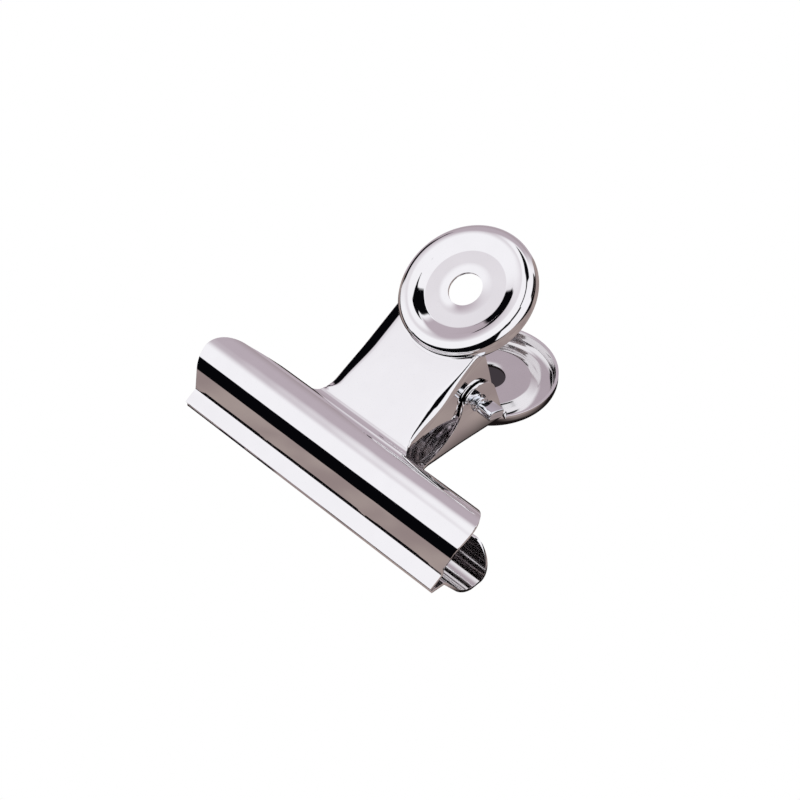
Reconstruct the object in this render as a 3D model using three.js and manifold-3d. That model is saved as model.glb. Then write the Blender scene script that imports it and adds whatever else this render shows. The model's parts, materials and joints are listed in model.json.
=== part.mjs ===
// Metal spring clip: two pressed sheet plates that rock on a cross pin, closed by a torsion spring.
// Millimetres. X runs along the jaw, Y from the jaw lips to the thumb discs, Z up.
// Each plate is drawn as the upper one, over the parting plane z = 0 with its lip tip at y = 0.
import * as THREE from 'three';
import { mergeVertices } from 'three/addons/utils/BufferGeometryUtils.js';
import Module from 'manifold-3d';

const wasm = await Module();
wasm.setup();

// Driving dimensions: sheet and fits
const sheet = 0.5;
const touchGap = 0.3;
const pinFit = 0.22;
const lap = 0.02;

// Jaw: a flat lip, a sharp crease, a steep wall and a rolled back
const jawLength = 63;
const lipLength = 3.3;
const lipAngle = 16.5;
const creaseRadius = 0.4;
const wallAngle = 68.5;
const wallLength = 4.7;
const rollRadius = 4.9;
const rollEndAngle = 78;
const jawCornerRadius = 4.6;

// The front jaw's own ends: a round lobe on the right and a long corner on the left
const lobeEndRadius = 6.1;
const lobeEndReach = 2.8;
const longCornerRadius = 5.6;
const longCornerDrop = 1.6;
const longCornerRun = 15.5;

// Neck: leaves the roll in a tight fold and runs flat to the disc
const neckAngle = 16.6;
const neckFoldTurn = 81;
const neckFoldRadius = 1.5;
const neckHalfWidth = 10.05;
const neckShoulderRadius = 3.2;
const earFoldRadius = 1.1;

// Ears: side flanges that carry the pin
const pivotY = 32.6;
const pinRadius = 1.5;
const lobeRadius = 4.1;
const earStartY = 17.2;
const earStartDepth = 1.3;
const earRearY = 36.9;

// Thumb disc: flat centre with a hole, a step, a raised ring and a turned-down rim
const discCentreY = 43.5;
const discAngle = 15;
const discLift = 0.1;
const discHoleRadius = 3.2;
const discFlatRadius = 7.7;
const discStepRadius = 9.6;
const discCrestRadius = 11.25;
const discRimRadius = 12.8;
const discFlatHeight = 1.1;
const discStepHeight = 1.75;
const discCrestHeight = 2.15;
const discRimDepth = 1.0;

// Pin: a domed head on the left, a staked blade on the right
const headRadius = 2.5;
const headHeight = 1.1;
const pinReach = 5.1;
const bladeLength = 3.3;
const bladeWidth = 3.6;
const bladeThickness = 1.9;
const bladeAngle = 33;

// Torsion spring, wound round the pin
const wireRadius = 0.6;
const coilRadius = 3.4;
const coilTurns = 6;
const coilPitch = 1.8;
const footStart = -4.2;
const footEnd = 2.2;
const footBendRadius = 1.4;

// Counts of facets
const rollSteps = 16;
const foldSteps = 5;
const discSegments = 56;
const pinSegments = 28;
const coilStepsPerTurn = 8;
const wireSides = 5;

const rad = THREE.MathUtils.degToRad;
const v2 = (y, z) => new THREE.Vector2(y, z);

// Solids from closed geometries, and back

function solid(geometry) {
  const bare = geometry.index ? geometry.toNonIndexed() : geometry.clone();
  bare.deleteAttribute('normal');
  bare.deleteAttribute('uv');
  const merged = mergeVertices(bare, 1e-4);
  return new wasm.Manifold(new wasm.Mesh({
    numProp: 3,
    vertProperties: new Float32Array(merged.attributes.position.array),
    triVerts: new Uint32Array(merged.index.array),
  }));
}

function geometryOf(manifold) {
  const mesh = manifold.getMesh();
  const geometry = new THREE.BufferGeometry();
  geometry.setAttribute('position', new THREE.BufferAttribute(mesh.vertProperties, 3));
  geometry.setIndex(new THREE.BufferAttribute(mesh.triVerts, 1));
  geometry.computeVertexNormals();
  return geometry;
}

// A shape drawn in the side view (y, z), extruded along X from x0 to x1.
function sideExtrusion(shape, x0, x1, curveSegments = 12) {
  const geometry = new THREE.ExtrudeGeometry(shape, { depth: x1 - x0, bevelEnabled: false, curveSegments });
  const toSide = new THREE.Matrix4().makeBasis(
    new THREE.Vector3(0, 1, 0), new THREE.Vector3(0, 0, 1), new THREE.Vector3(1, 0, 0));
  geometry.applyMatrix4(toSide);
  geometry.translate(x0, 0, 0);
  return solid(geometry);
}

// A bent strip of sheet: a path walked along its outer face, with the outward normal on the left.
class BentStrip {
  constructor(start, headingDegrees) {
    this.at = start.clone();
    this.heading = rad(headingDegrees);
    this.outer = [];
    this.normals = [];
    this.mark();
  }

  mark() {
    this.outer.push(this.at.clone());
    this.normals.push(v2(-Math.sin(this.heading), Math.cos(this.heading)));
  }

  straight(length) {
    this.at.add(v2(Math.cos(this.heading), Math.sin(this.heading)).multiplyScalar(length));
    this.mark();
    return this;
  }

  // Positive degrees turn towards the outward side, negative ones away from it.
  bend(radius, degrees, steps) {
    const side = Math.sign(degrees);
    const normal = v2(-Math.sin(this.heading), Math.cos(this.heading));
    const centre = this.at.clone().add(normal.multiplyScalar(side * radius));
    for (let i = 0; i < steps; i += 1) {
      this.heading += rad(degrees / steps);
      const out = v2(-Math.sin(this.heading), Math.cos(this.heading));
      this.at = centre.clone().sub(out.multiplyScalar(side * radius));
      this.mark();
    }
    return this;
  }

  shape() {
    const inner = this.outer.map((p, i) => p.clone().sub(this.normals[i].clone().multiplyScalar(sheet)));
    return new THREE.Shape([...this.outer, ...inner.reverse()]);
  }
}

// The lip's outer tip stands one sheet above the inner tip, which stops half a touch gap off the plane.
const lipTip = v2(-sheet * Math.sin(rad(lipAngle)), touchGap / 2 + sheet * Math.cos(rad(lipAngle)));

function walkJaw() {
  return new BentStrip(lipTip, lipAngle)
    .straight(lipLength)
    .bend(creaseRadius, wallAngle - lipAngle, foldSteps)
    .straight(wallLength)
    .bend(rollRadius, -(wallAngle + rollEndAngle), rollSteps);
}

const jawRearY = Math.max(...walkJaw().outer.map((p) => p.x));

// The middle of the plate goes on past the roll's free edge, folds back out and becomes the neck.
function walkRollAndFold() {
  return walkJaw()
    .bend(rollRadius, rollEndAngle - neckFoldTurn, 1);
}

function walkNeck(length) {
  return walkRollAndFold()
    .bend(neckFoldRadius, neckFoldTurn + neckAngle, 2 * foldSteps)
    .straight(length);
}

const rollEnd = walkRollAndFold();
const neckStart = walkNeck(0).at.clone();
const neckDirection = v2(Math.cos(rad(neckAngle)), Math.sin(rad(neckAngle)));
const neckNormal = v2(-neckDirection.y, neckDirection.x);
const neckZ = (y) => neckStart.y + (y - neckStart.x) * Math.tan(rad(neckAngle));

// Disc frame: its centre lies on the neck plane's height, a little lifted, and it tips by its own angle.
const discCentre = v2(discCentreY, neckZ(discCentreY) - discLift);
const discDirection = v2(Math.cos(rad(discAngle)), Math.sin(rad(discAngle)));
const discNormal = v2(-discDirection.y, discDirection.x);

function onDisc(along, height) {
  return discCentre.clone()
    .add(discDirection.clone().multiplyScalar(along))
    .add(discNormal.clone().multiplyScalar(height));
}

// Places a geometry made about the Y axis on the disc's axis.
function toDiscFrame(geometry) {
  const frame = new THREE.Matrix4().makeBasis(
    new THREE.Vector3(0, discDirection.x, discDirection.y),
    new THREE.Vector3(0, discNormal.x, discNormal.y),
    new THREE.Vector3(1, 0, 0));
  frame.setPosition(0, discCentre.x, discCentre.y);
  geometry.applyMatrix4(frame);
  return geometry;
}

// One pressed section of the disc, outer face first, then the same points one sheet in.
function discCap() {
  const crestRound = discRimRadius - discCrestRadius;
  const face = new BentStrip(v2(discHoleRadius, discFlatHeight), 0);
  face.straight(discFlatRadius - discHoleRadius);
  const toStep = v2(discStepRadius, discStepHeight).sub(face.at);
  face.heading = toStep.angle();
  face.mark();
  face.straight(toStep.length());
  const crestTop = v2(discCrestRadius, discCrestHeight);
  const toCrest = crestTop.clone().sub(face.at);
  face.heading = toCrest.angle();
  face.straight(toCrest.length());
  face.heading = 0;
  face.bend(crestRound, -90, 2 * foldSteps);
  face.straight(discCrestHeight - crestRound + discRimDepth);
  const outline = face.shape().getPoints().reverse();
  outline.push(outline[0].clone());
  return solid(toDiscFrame(new THREE.LatheGeometry(outline, discSegments)));
}

// Everything of the neck and ears that lies inside the disc's rim is cleared down to just above its edge.
function rimClearance() {
  const top = discCrestHeight + 4;
  const bottom = -discRimDepth + lap;
  const inside = new THREE.CylinderGeometry(
    discRimRadius - sheet / 2, discRimRadius - sheet / 2, top - bottom, discSegments);
  inside.translate(0, (top + bottom) / 2, 0);
  return solid(toDiscFrame(inside));
}

// The outline of the jaw and its shoulders seen from above: the shape is walked from the left lip to the
// right one, round the right end, along the rear edge with the neck standing on it, and round the left end.
function planOutline(halfWidth, ends) {
  const halfJaw = jawLength / 2;
  const shoulder = neckShoulderRadius;
  const shape = new THREE.Shape();
  shape.moveTo(-halfJaw, -1);
  shape.lineTo(halfJaw, -1);
  ends.right(shape, halfJaw);
  shape.lineTo(halfWidth + shoulder, jawRearY);
  shape.absarc(halfWidth + shoulder, jawRearY + shoulder, shoulder, -Math.PI / 2, -Math.PI, true);
  shape.lineTo(halfWidth, discCentreY);
  shape.lineTo(-halfWidth, discCentreY);
  shape.lineTo(-halfWidth, jawRearY + shoulder);
  shape.absarc(-halfWidth - shoulder, jawRearY + shoulder, shoulder, 0, -Math.PI / 2, true);
  ends.left(shape, halfJaw);
  shape.closePath();
  const geometry = new THREE.ExtrudeGeometry(shape, { depth: 40, bevelEnabled: false, curveSegments: 10 });
  geometry.translate(0, 0, -10);
  return solid(geometry);
}

// The back jaw has the same round corner at both ends.
const backEnds = {
  right(shape, halfJaw) {
    const x = halfJaw - jawCornerRadius;
    shape.absarc(x, jawRearY - jawCornerRadius, jawCornerRadius, 0, Math.PI / 2, false);
  },
  left(shape, halfJaw) {
    const x = jawCornerRadius - halfJaw;
    shape.absarc(x, jawRearY - jawCornerRadius, jawCornerRadius, Math.PI / 2, Math.PI, false);
  },
};

// The front jaw's right end swells from the lip's corner; its left corner is long and set forward.
const frontEnds = {
  right(shape, halfJaw) {
    const x = halfJaw + lobeEndReach - lobeEndRadius;
    const start = -Math.acos((halfJaw - x) / lobeEndRadius);
    shape.absarc(x, jawRearY - lobeEndRadius, lobeEndRadius, start, Math.PI / 2, false);
  },
  left(shape, halfJaw) {
    const x = longCornerRadius - halfJaw;
    const rearY = jawRearY - longCornerDrop;
    shape.lineTo(-halfJaw + longCornerRun, jawRearY);
    shape.absarc(x, rearY - longCornerRadius, longCornerRadius, Math.PI / 2, Math.PI, false);
  },
};

// The side view of one ear: a low flange that deepens into a round lobe about the pin.
function earOutline() {
  const shape = new THREE.Shape();
  const above = 6;
  const start = v2(earStartY, neckZ(earStartY) - earStartDepth);
  const lobeEntry = rad(203);
  const entry = v2(pivotY + lobeRadius * Math.cos(lobeEntry), lobeRadius * Math.sin(lobeEntry));
  const tangent = v2(Math.sin(lobeEntry), -Math.cos(lobeEntry)).multiplyScalar(3.2);
  shape.moveTo(start.x - 3, start.y - 1.2);
  shape.lineTo(start.x, start.y);
  shape.bezierCurveTo(start.x + 4.6, start.y + 0.7, entry.x + tangent.x, entry.y + tangent.y, entry.x, entry.y);
  shape.absarc(pivotY, 0, lobeRadius, lobeEntry, 2 * Math.PI, false);
  shape.lineTo(earRearY, lobeRadius);
  shape.lineTo(earRearY, neckZ(earRearY) + above);
  shape.lineTo(start.x - 3, neckZ(start.x) + above);
  shape.closePath();
  return shape;
}

// A U channel along the neck, its two folds rounded, cut to the ears' side view.
// Its web lies a hair under both faces of the neck that it joins.
function neckChannel(halfWidth) {
  const depth = 24;
  const foldTop = -earFoldRadius - lap;
  const innerFold = earFoldRadius - sheet;
  const outerCentre = halfWidth - earFoldRadius;
  const innerHalf = halfWidth - sheet;
  const shape = new THREE.Shape();
  shape.moveTo(halfWidth, -depth);
  shape.lineTo(halfWidth, foldTop);
  shape.absarc(outerCentre, foldTop, earFoldRadius, 0, Math.PI / 2, false);
  shape.absarc(-outerCentre, foldTop, earFoldRadius, Math.PI / 2, Math.PI, false);
  shape.lineTo(-halfWidth, -depth);
  shape.lineTo(-innerHalf, -depth);
  shape.lineTo(-innerHalf, foldTop);
  shape.absarc(-outerCentre, foldTop, innerFold, Math.PI, Math.PI / 2, true);
  shape.lineTo(-outerCentre + innerFold, lap - sheet);
  shape.lineTo(outerCentre - innerFold, lap - sheet);
  shape.absarc(outerCentre, foldTop, innerFold, Math.PI / 2, 0, true);
  shape.lineTo(innerHalf, -depth);
  shape.closePath();
  const run = discCentreY - neckStart.x;
  const geometry = new THREE.ExtrudeGeometry(shape, { depth: run, bevelEnabled: false, curveSegments: 5 });
  const along = new THREE.Matrix4().makeBasis(
    new THREE.Vector3(-1, 0, 0),
    new THREE.Vector3(0, neckNormal.x, neckNormal.y),
    new THREE.Vector3(0, neckDirection.x, neckDirection.y));
  along.setPosition(0, neckStart.x, neckStart.y);
  geometry.applyMatrix4(along);
  return solid(geometry).intersect(sideExtrusion(earOutline(), -halfWidth - 1, halfWidth + 1, 16));
}

// One whole plate; the outer plate is wider than the inner one by a sheet and a gap on each side.
function pressedPlate(halfWidth, ends) {
  const shoulderHalf = halfWidth + neckShoulderRadius;
  const jawReach = jawLength / 2 + lobeEndReach;
  const jaw = sideExtrusion(walkJaw().shape(), -jawReach, jawReach);
  const neckRun = (earRearY - neckStart.x) / neckDirection.x;
  const flatHalf = halfWidth - earFoldRadius;
  const neck = sideExtrusion(walkNeck(neckRun).shape(), -flatHalf, flatHalf);
  const shoulderRun = 0.8 * neckShoulderRadius;
  const shoulders = sideExtrusion(walkNeck(shoulderRun).shape(), -shoulderHalf, shoulderHalf);
  const holeRadius = pinRadius + pinFit;
  const hole = new THREE.CylinderGeometry(holeRadius, holeRadius, 2 * shoulderHalf, pinSegments);
  hole.rotateZ(Math.PI / 2);
  hole.translate(0, pivotY, 0);
  return jaw.add(shoulders)
    .intersect(planOutline(halfWidth, ends))
    .add(neck)
    .add(neckChannel(halfWidth))
    .subtract(rimClearance())
    .add(discCap())
    .subtract(solid(hole));
}

// The pin, along X through both pairs of ears.
function pivotPin(outerHalfWidth) {
  const headBase = outerHalfWidth + touchGap;
  const tip = outerHalfWidth + pinReach;
  const profile = new THREE.Path();
  profile.moveTo(0, -headBase - headHeight);
  profile.bezierCurveTo(headRadius * 0.6, -headBase - headHeight, headRadius, -headBase - headHeight * 0.75,
    headRadius, -headBase - headHeight * 0.3);
  profile.lineTo(headRadius, -headBase);
  profile.lineTo(pinRadius, -headBase);
  profile.lineTo(pinRadius, tip - bladeLength * 0.8);
  profile.lineTo(pinRadius * 0.62, tip - bladeLength * 0.4);
  profile.lineTo(0, tip - bladeLength * 0.4);
  const shank = new THREE.LatheGeometry(profile.getPoints(6), pinSegments);
  shank.rotateZ(-Math.PI / 2);

  const corner = 0.45;
  const blade = new THREE.Shape();
  const halfLong = bladeWidth / 2;
  const halfShort = bladeThickness / 2;
  blade.moveTo(-halfLong + corner, -halfShort);
  blade.lineTo(halfLong - corner, -halfShort);
  blade.lineTo(halfLong, -halfShort + corner);
  blade.lineTo(halfLong, halfShort - corner);
  blade.lineTo(halfLong - corner, halfShort);
  blade.lineTo(-halfLong + corner, halfShort);
  blade.lineTo(-halfLong, halfShort - corner);
  blade.lineTo(-halfLong, -halfShort + corner);
  blade.closePath();
  const bevel = 0.35;
  const flat = new THREE.ExtrudeGeometry(blade, {
    depth: bladeLength - 2 * bevel, bevelEnabled: true, bevelThickness: bevel,
    bevelSize: bevel, bevelOffset: -bevel, bevelSegments: 1,
  });
  flat.translate(0, 0, tip - bladeLength + bevel);
  flat.rotateZ(rad(bladeAngle));
  const toSide = new THREE.Matrix4().makeBasis(
    new THREE.Vector3(0, 1, 0), new THREE.Vector3(0, 0, 1), new THREE.Vector3(1, 0, 0));
  flat.applyMatrix4(toSide);
  return geometryOf(solid(shank).add(solid(flat)));
}

// The spring's path in its own plane: a foot along the disc's inner face, a bend, and a leg to the coil.
function springLeg() {
  const footHeight = discFlatHeight - sheet - touchGap - wireRadius;
  const pivot = v2(pivotY, 0);
  const tip = onDisc(footEnd, footHeight).sub(pivot);
  const corner = onDisc(footStart, footHeight).sub(pivot);
  const distance = corner.length();
  const tangentAngle = corner.angle() - Math.acos(coilRadius / distance);
  const leave = v2(Math.cos(tangentAngle), Math.sin(tangentAngle)).multiplyScalar(coilRadius);
  const inward = leave.clone().sub(corner).normalize();
  const outward = tip.clone().sub(corner).normalize();
  const halfTurn = Math.acos(THREE.MathUtils.clamp(inward.dot(outward), -1, 1)) / 2;
  const setback = footBendRadius / Math.tan(halfTurn);
  const bisector = inward.clone().add(outward).normalize();
  const centre = corner.clone().add(bisector.multiplyScalar(footBendRadius / Math.sin(halfTurn)));
  const from = corner.clone().add(outward.clone().multiplyScalar(setback)).sub(centre);
  const to = corner.clone().add(inward.clone().multiplyScalar(setback)).sub(centre);
  const turn = from.angleTo(to) * Math.sign(from.cross(to));
  const points = [tip];
  const bendSteps = 4;
  for (let i = 0; i <= bendSteps; i += 1) {
    points.push(from.clone().rotateAround(v2(0, 0), turn * i / bendSteps).add(centre));
  }
  return { points, tangentAngle };
}

function springPath() {
  const { points, tangentAngle } = springLeg();
  const sweep = 2 * Math.PI * coilTurns + 2 * tangentAngle;
  const steps = Math.round(coilStepsPerTurn * sweep / (2 * Math.PI));
  const length = coilPitch * sweep / (2 * Math.PI);
  const path = points.map((p) => new THREE.Vector3(-length / 2, p.x, -p.y));
  for (let i = 0; i <= steps; i += 1) {
    const angle = -tangentAngle + sweep * i / steps;
    const x = length * (i / steps - 0.5);
    path.push(new THREE.Vector3(x, coilRadius * Math.cos(angle), coilRadius * Math.sin(angle)));
  }
  points.reverse().forEach((p) => path.push(new THREE.Vector3(length / 2, p.x, p.y)));
  return path;
}

// Only points more than half a turn apart along the wire count.
function leastGap(path) {
  const along = [0];
  path.slice(1).forEach((point, i) => along.push(along[i] + point.distanceTo(path[i])));
  let least = Infinity;
  path.forEach((a, i) => path.forEach((b, j) => {
    if (along[j] - along[i] > Math.PI * coilRadius) least = Math.min(least, a.distanceTo(b));
  }));
  return least - 2 * wireRadius;
}

// A closed tube of rings square to the path, each ring turned out from the coil's axis.
function wireTube(path) {
  const axis = new THREE.Vector3(1, 0, 0);
  const vertices = [];
  const faces = [];
  path.forEach((point, i) => {
    const before = path[Math.max(i - 1, 0)];
    const after = path[Math.min(i + 1, path.length - 1)];
    const along = after.clone().sub(before).normalize();
    const out = along.clone().cross(axis).normalize();
    const across = along.clone().cross(out);
    for (let s = 0; s < wireSides; s += 1) {
      const angle = 2 * Math.PI * s / wireSides;
      const spoke = out.clone().multiplyScalar(Math.cos(angle)).addScaledVector(across, Math.sin(angle));
      const vertex = point.clone().addScaledVector(spoke, wireRadius);
      vertices.push(vertex.x, vertex.y + pivotY, vertex.z);
    }
  });
  const last = (path.length - 1) * wireSides;
  for (let s = 0; s < wireSides; s += 1) {
    const next = (s + 1) % wireSides;
    for (let ring = 0; ring < last; ring += wireSides) {
      faces.push(ring + s, ring + next, ring + wireSides + next);
      faces.push(ring + s, ring + wireSides + next, ring + wireSides + s);
    }
    if (s > 0 && s < wireSides - 1) {
      faces.push(0, next, s);
      faces.push(last, last + s, last + next);
    }
  }
  const geometry = new THREE.BufferGeometry();
  geometry.setAttribute('position', new THREE.Float32BufferAttribute(vertices, 3));
  geometry.setIndex(faces);
  geometry.computeVertexNormals();
  return geometry;
}

// Assembly
const nickel = { color: 0xd9d6d8, roughness: 0.12, metalness: 1 };
const pinSteel = { color: 0xcfd2d6, roughness: 0.25, metalness: 1 };
const springSteel = { color: 0x9a989c, roughness: 0.3, metalness: 1 };

function piece(name, geometry, finish) {
  const mesh = new THREE.Mesh(geometry, new THREE.MeshStandardMaterial(finish));
  mesh.name = name;
  return mesh;
}

const outerHalfWidth = neckHalfWidth + touchGap + sheet;
const frontPlate = piece('front_plate', geometryOf(pressedPlate(neckHalfWidth, frontEnds)), nickel);
const backPlate = piece('back_plate', geometryOf(pressedPlate(outerHalfWidth, backEnds)), nickel);
backPlate.rotation.y = Math.PI;
const pin = piece('pivot_pin', pivotPin(outerHalfWidth), pinSteel);
pin.position.set(0, pivotY, 0);
const wirePath = springPath();
const spring = piece('torsion_spring', wireTube(wirePath), springSteel);
console.log(`torsion spring: least gap to itself ${leastGap(wirePath).toFixed(2)} mm`);

// The clip lies on the roll of its back jaw and on the raised ring of its back disc.
const crestRound = discRimRadius - discCrestRadius;
const rollCentre = rollEnd.at.clone().sub(
  v2(Math.sin(rad(neckFoldTurn)), Math.cos(rad(neckFoldTurn))).multiplyScalar(rollRadius));
const ringCentre = onDisc(discCrestRadius, discCrestHeight - crestRound);
const span = ringCentre.clone().sub(rollCentre);
const restAngle = span.angle() + Math.asin((crestRound - rollRadius) / span.length());

const clip = new THREE.Group();
clip.add(frontPlate, backPlate, pin, spring);
clip.rotation.x = restAngle;

// The origin is the middle of the footprint, at the surface that the clip lies on.
const part = new THREE.Group();
part.add(clip);
part.updateMatrixWorld(true);
const bounds = new THREE.Box3().setFromObject(part, true);
const middle = bounds.getCenter(new THREE.Vector3());
clip.position.set(-middle.x, -middle.y, -bounds.min.z);
part.updateMatrixWorld(true);

export default part;
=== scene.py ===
# %% [markdown]
# This file dresses a metal spring clip. Two pressed and nickel plated plates rock on a
# cross pin, and a torsion spring between their thumb discs keeps the jaws shut.
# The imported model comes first. It says where every solid is, so each piece made here is
# built in its place, in metres, and nothing has to be fitted afterwards.

# %% The frame
import json
import math

import bmesh
import bpy
from mathutils import Matrix, Vector
from mathutils.geometry import interpolate_bezier


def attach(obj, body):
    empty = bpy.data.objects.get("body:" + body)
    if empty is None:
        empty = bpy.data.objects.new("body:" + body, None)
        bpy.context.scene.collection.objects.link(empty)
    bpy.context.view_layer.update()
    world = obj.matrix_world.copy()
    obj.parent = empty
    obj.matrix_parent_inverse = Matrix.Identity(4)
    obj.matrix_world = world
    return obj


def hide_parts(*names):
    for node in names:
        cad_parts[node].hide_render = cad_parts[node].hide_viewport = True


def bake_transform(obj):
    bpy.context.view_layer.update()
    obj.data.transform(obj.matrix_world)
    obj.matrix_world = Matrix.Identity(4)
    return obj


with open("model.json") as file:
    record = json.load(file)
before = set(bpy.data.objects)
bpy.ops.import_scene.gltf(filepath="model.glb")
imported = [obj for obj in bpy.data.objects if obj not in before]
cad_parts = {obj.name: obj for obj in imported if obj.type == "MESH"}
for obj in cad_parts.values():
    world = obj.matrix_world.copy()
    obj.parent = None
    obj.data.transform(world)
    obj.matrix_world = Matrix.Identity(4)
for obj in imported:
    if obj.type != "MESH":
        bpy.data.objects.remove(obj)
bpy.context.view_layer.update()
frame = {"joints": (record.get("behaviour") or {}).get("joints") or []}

# %% [markdown]
# The plates are easiest to draw while the clip lies level, in millimetres: X along the
# jaw, Y from the lips to the thumb discs and Z up, with the pin's axis at z = 0. The real
# clip leans a little, because it lies on its back jaw and its back disc. One matrix takes
# a finished mesh from that drawing to its place, by way of the hinge in the record.

# %% From the level drawing to the place
MM = 0.001
LEAN = math.radians(9.736269)
PIVOT_Y = 32.6

hinge = Vector(frame["joints"][0]["pos_m"])
PLACE = (Matrix.Translation(hinge) @ Matrix.Rotation(LEAN, 4, "X")
         @ Matrix.Scale(MM, 4) @ Matrix.Translation((0, -PIVOT_Y, 0)))
TURN_OVER = Matrix.Rotation(math.pi, 4, "Y")
print("the pin's axis lies at", [round(c / MM, 2) for c in hinge], "mm")

# %% [markdown]
# The camera looks down on the jaw from the front and the right, through a long lens. Its
# three axes are written as directions in the level drawing, which is how they were found.

# %% Camera
LENS = 102.24
SENSOR = 36.0
camera_right = Vector((0.6904, 0.7000, -0.1828))
camera_down = Vector((0.4911, -0.6389, -0.5921))
camera_view = Vector((-0.5313, 0.3190, -0.7848))
camera_at = Vector((211.54, -103.11, 313.69))

turn = Matrix((camera_right, -camera_down, -camera_view)).transposed()
camera = bpy.data.objects.new("studio_camera", bpy.data.cameras.new("studio_camera"))
camera.data.lens = LENS
camera.data.sensor_width = SENSOR
camera.data.clip_start = 0.01
camera.data.clip_end = 20
camera.data.dof.use_dof = False
camera.location = PLACE @ camera_at
camera.rotation_euler = (Matrix.Rotation(LEAN, 3, "X") @ turn).to_euler()
bpy.context.scene.collection.objects.link(camera)
bpy.context.scene.camera = camera
print("camera", round(camera.location.length, 3), "m away")

# %% [markdown]
# A pressed plate is one strip of sheet that is bent again and again. So the pen below
# works as a press brake does. It holds one row of points along X, pushes the row forward
# for a straight run, and spins it round a centre for a bend. Each push leaves a band of
# faces behind, and the bends come out as true arcs, which matters under a mirror finish.

# %% What both pens share, for this sheet and later for the wire
NEAR = 1e-4


def is_edge(item):
    return isinstance(item, bmesh.types.BMEdge)


def is_vert(item):
    return isinstance(item, bmesh.types.BMVert)


def verts_of(edges):
    return list({vert for edge in edges for vert in edge.verts})


def push_edges(bm, edges, vector):
    """Extrudes edges along a vector and gives back the new edges."""
    made = bmesh.ops.extrude_edge_only(bm, edges=edges)["geom"]
    bmesh.ops.translate(bm, verts=[item for item in made if is_vert(item)], vec=vector)
    return [item for item in made if is_edge(item)]


def spin_edges(bm, edges, centre, angle, steps, climb=0.0):
    """Spins edges round a line along X, climbing along it, and gives back the last edges."""
    made = bmesh.ops.spin(
        bm, geom=edges + verts_of(edges), cent=centre, axis=(1, 0, 0),
        dvec=(climb / steps, 0, 0), angle=angle, steps=steps, use_duplicate=False)
    return [item for item in made["geom_last"] if is_edge(item)]


print("points closer than", NEAR, "mm count as one")

# %% A row of points that draws bent sheet
SHEET = 0.5
NECK_COLUMNS = 20
END_COLUMNS = 22


class SheetPen:
    def __init__(self, start, heading):
        self.bm = bmesh.new()
        self.column = self.bm.verts.layers.int.new("column")
        self.at = Vector(start)
        self.heading = math.radians(heading)
        count = 2 * (NECK_COLUMNS + END_COLUMNS)
        ends = [self.bm.verts.new((side * count / 2, *self.at)) for side in (-1, 1)]
        edge = self.bm.edges.new(ends)
        bmesh.ops.subdivide_edges(self.bm, edges=[edge], cuts=count - 1)
        for vert in self.bm.verts:
            vert[self.column] = round(vert.co.x)
        self.row = self.bm.edges[:]

    def narrow(self, columns):
        self.row = [edge for edge in self.row
                    if all(abs(vert[self.column]) <= columns for vert in edge.verts)]

    def straight(self, length, steps):
        along = Vector((math.cos(self.heading), math.sin(self.heading)))
        for _ in range(steps):
            self.row = push_edges(self.bm, self.row, (0, *(along * length / steps)))
        self.at += along * length

    def bend(self, radius, degrees, steps):
        side = math.copysign(1, degrees)
        outward = Vector((-math.sin(self.heading), math.cos(self.heading)))
        centre = self.at + outward * side * radius
        self.row = spin_edges(self.bm, self.row, (0, *centre), math.radians(degrees), steps)
        self.heading += math.radians(degrees)
        outward = Vector((-math.sin(self.heading), math.cos(self.heading)))
        self.at = centre - outward * side * radius


print("a row has", 2 * (NECK_COLUMNS + END_COLUMNS) + 1, "points")

# %% The bends of a plate, in the order of the press
LIP_ANGLE = 16.5
LIP_LENGTH = 2.68
CREASE_RADIUS = 0.4
WALL_ANGLE = 67.5
WALL_LENGTH = 4.262
EASE_RADIUS = 7.5
EASE_TURN = 20
ROLL_RADIUS = 5.037
ROLL_END_ANGLE = 78
FOLD_TURN = 81
FOLD_RADIUS = 1.5
NECK_ANGLE = 16.6
JAW_GAP = 0.3

lip_tip = (-SHEET * math.sin(math.radians(LIP_ANGLE)),
           JAW_GAP / 2 + SHEET * math.cos(math.radians(LIP_ANGLE)))


def bend_jaw(pen):
    pen.straight(LIP_LENGTH, steps=5)
    pen.bend(CREASE_RADIUS, WALL_ANGLE - LIP_ANGLE, steps=6)
    pen.straight(WALL_LENGTH, steps=6)
    pen.bend(EASE_RADIUS, -EASE_TURN, steps=12)
    pen.bend(ROLL_RADIUS, -(WALL_ANGLE - EASE_TURN + ROLL_END_ANGLE), steps=60)


trial = SheetPen(lip_tip, LIP_ANGLE)
bend_jaw(trial)
JAW_REAR_Y = trial.at.x
trial.bend(ROLL_RADIUS, ROLL_END_ANGLE - FOLD_TURN, steps=1)
trial.bend(FOLD_RADIUS, FOLD_TURN + NECK_ANGLE, steps=12)
NECK_Y, NECK_Z = trial.at
trial.bm.free()
print("jaw's rear edge at", round(JAW_REAR_Y, 2), "neck starts at",
      round(NECK_Y, 2), round(NECK_Z, 2))

# %% [markdown]
# Seen from above the jaw has rounded ends. The pen's row is a mere count of columns, so
# the next functions give every column its real X. The middle columns belong to the neck
# and the others stretch out to the jaw's end, which depends on how far back the row is.
# The two jaws differ: the front one swells at its right end and is set forward on its left.

# %% Outline of the jaw's ends
HALF_JAW = 31.5
CORNER_RADIUS = 4.6
LOBE_RADIUS = 6.1
LOBE_REACH = 2.8
LONG_RADIUS = 5.6
LONG_DROP = 1.6
LONG_RUN = 15.5


def round_corner(y, radius, rear, middle):
    """X of a round corner that meets the end of the jaw below y = rear - radius."""
    over = min(max(y - (rear - radius), 0), radius)
    return middle + math.sqrt(radius ** 2 - over ** 2)


def plain_end(y):
    return round_corner(y, CORNER_RADIUS, JAW_REAR_Y, HALF_JAW - CORNER_RADIUS)


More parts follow.
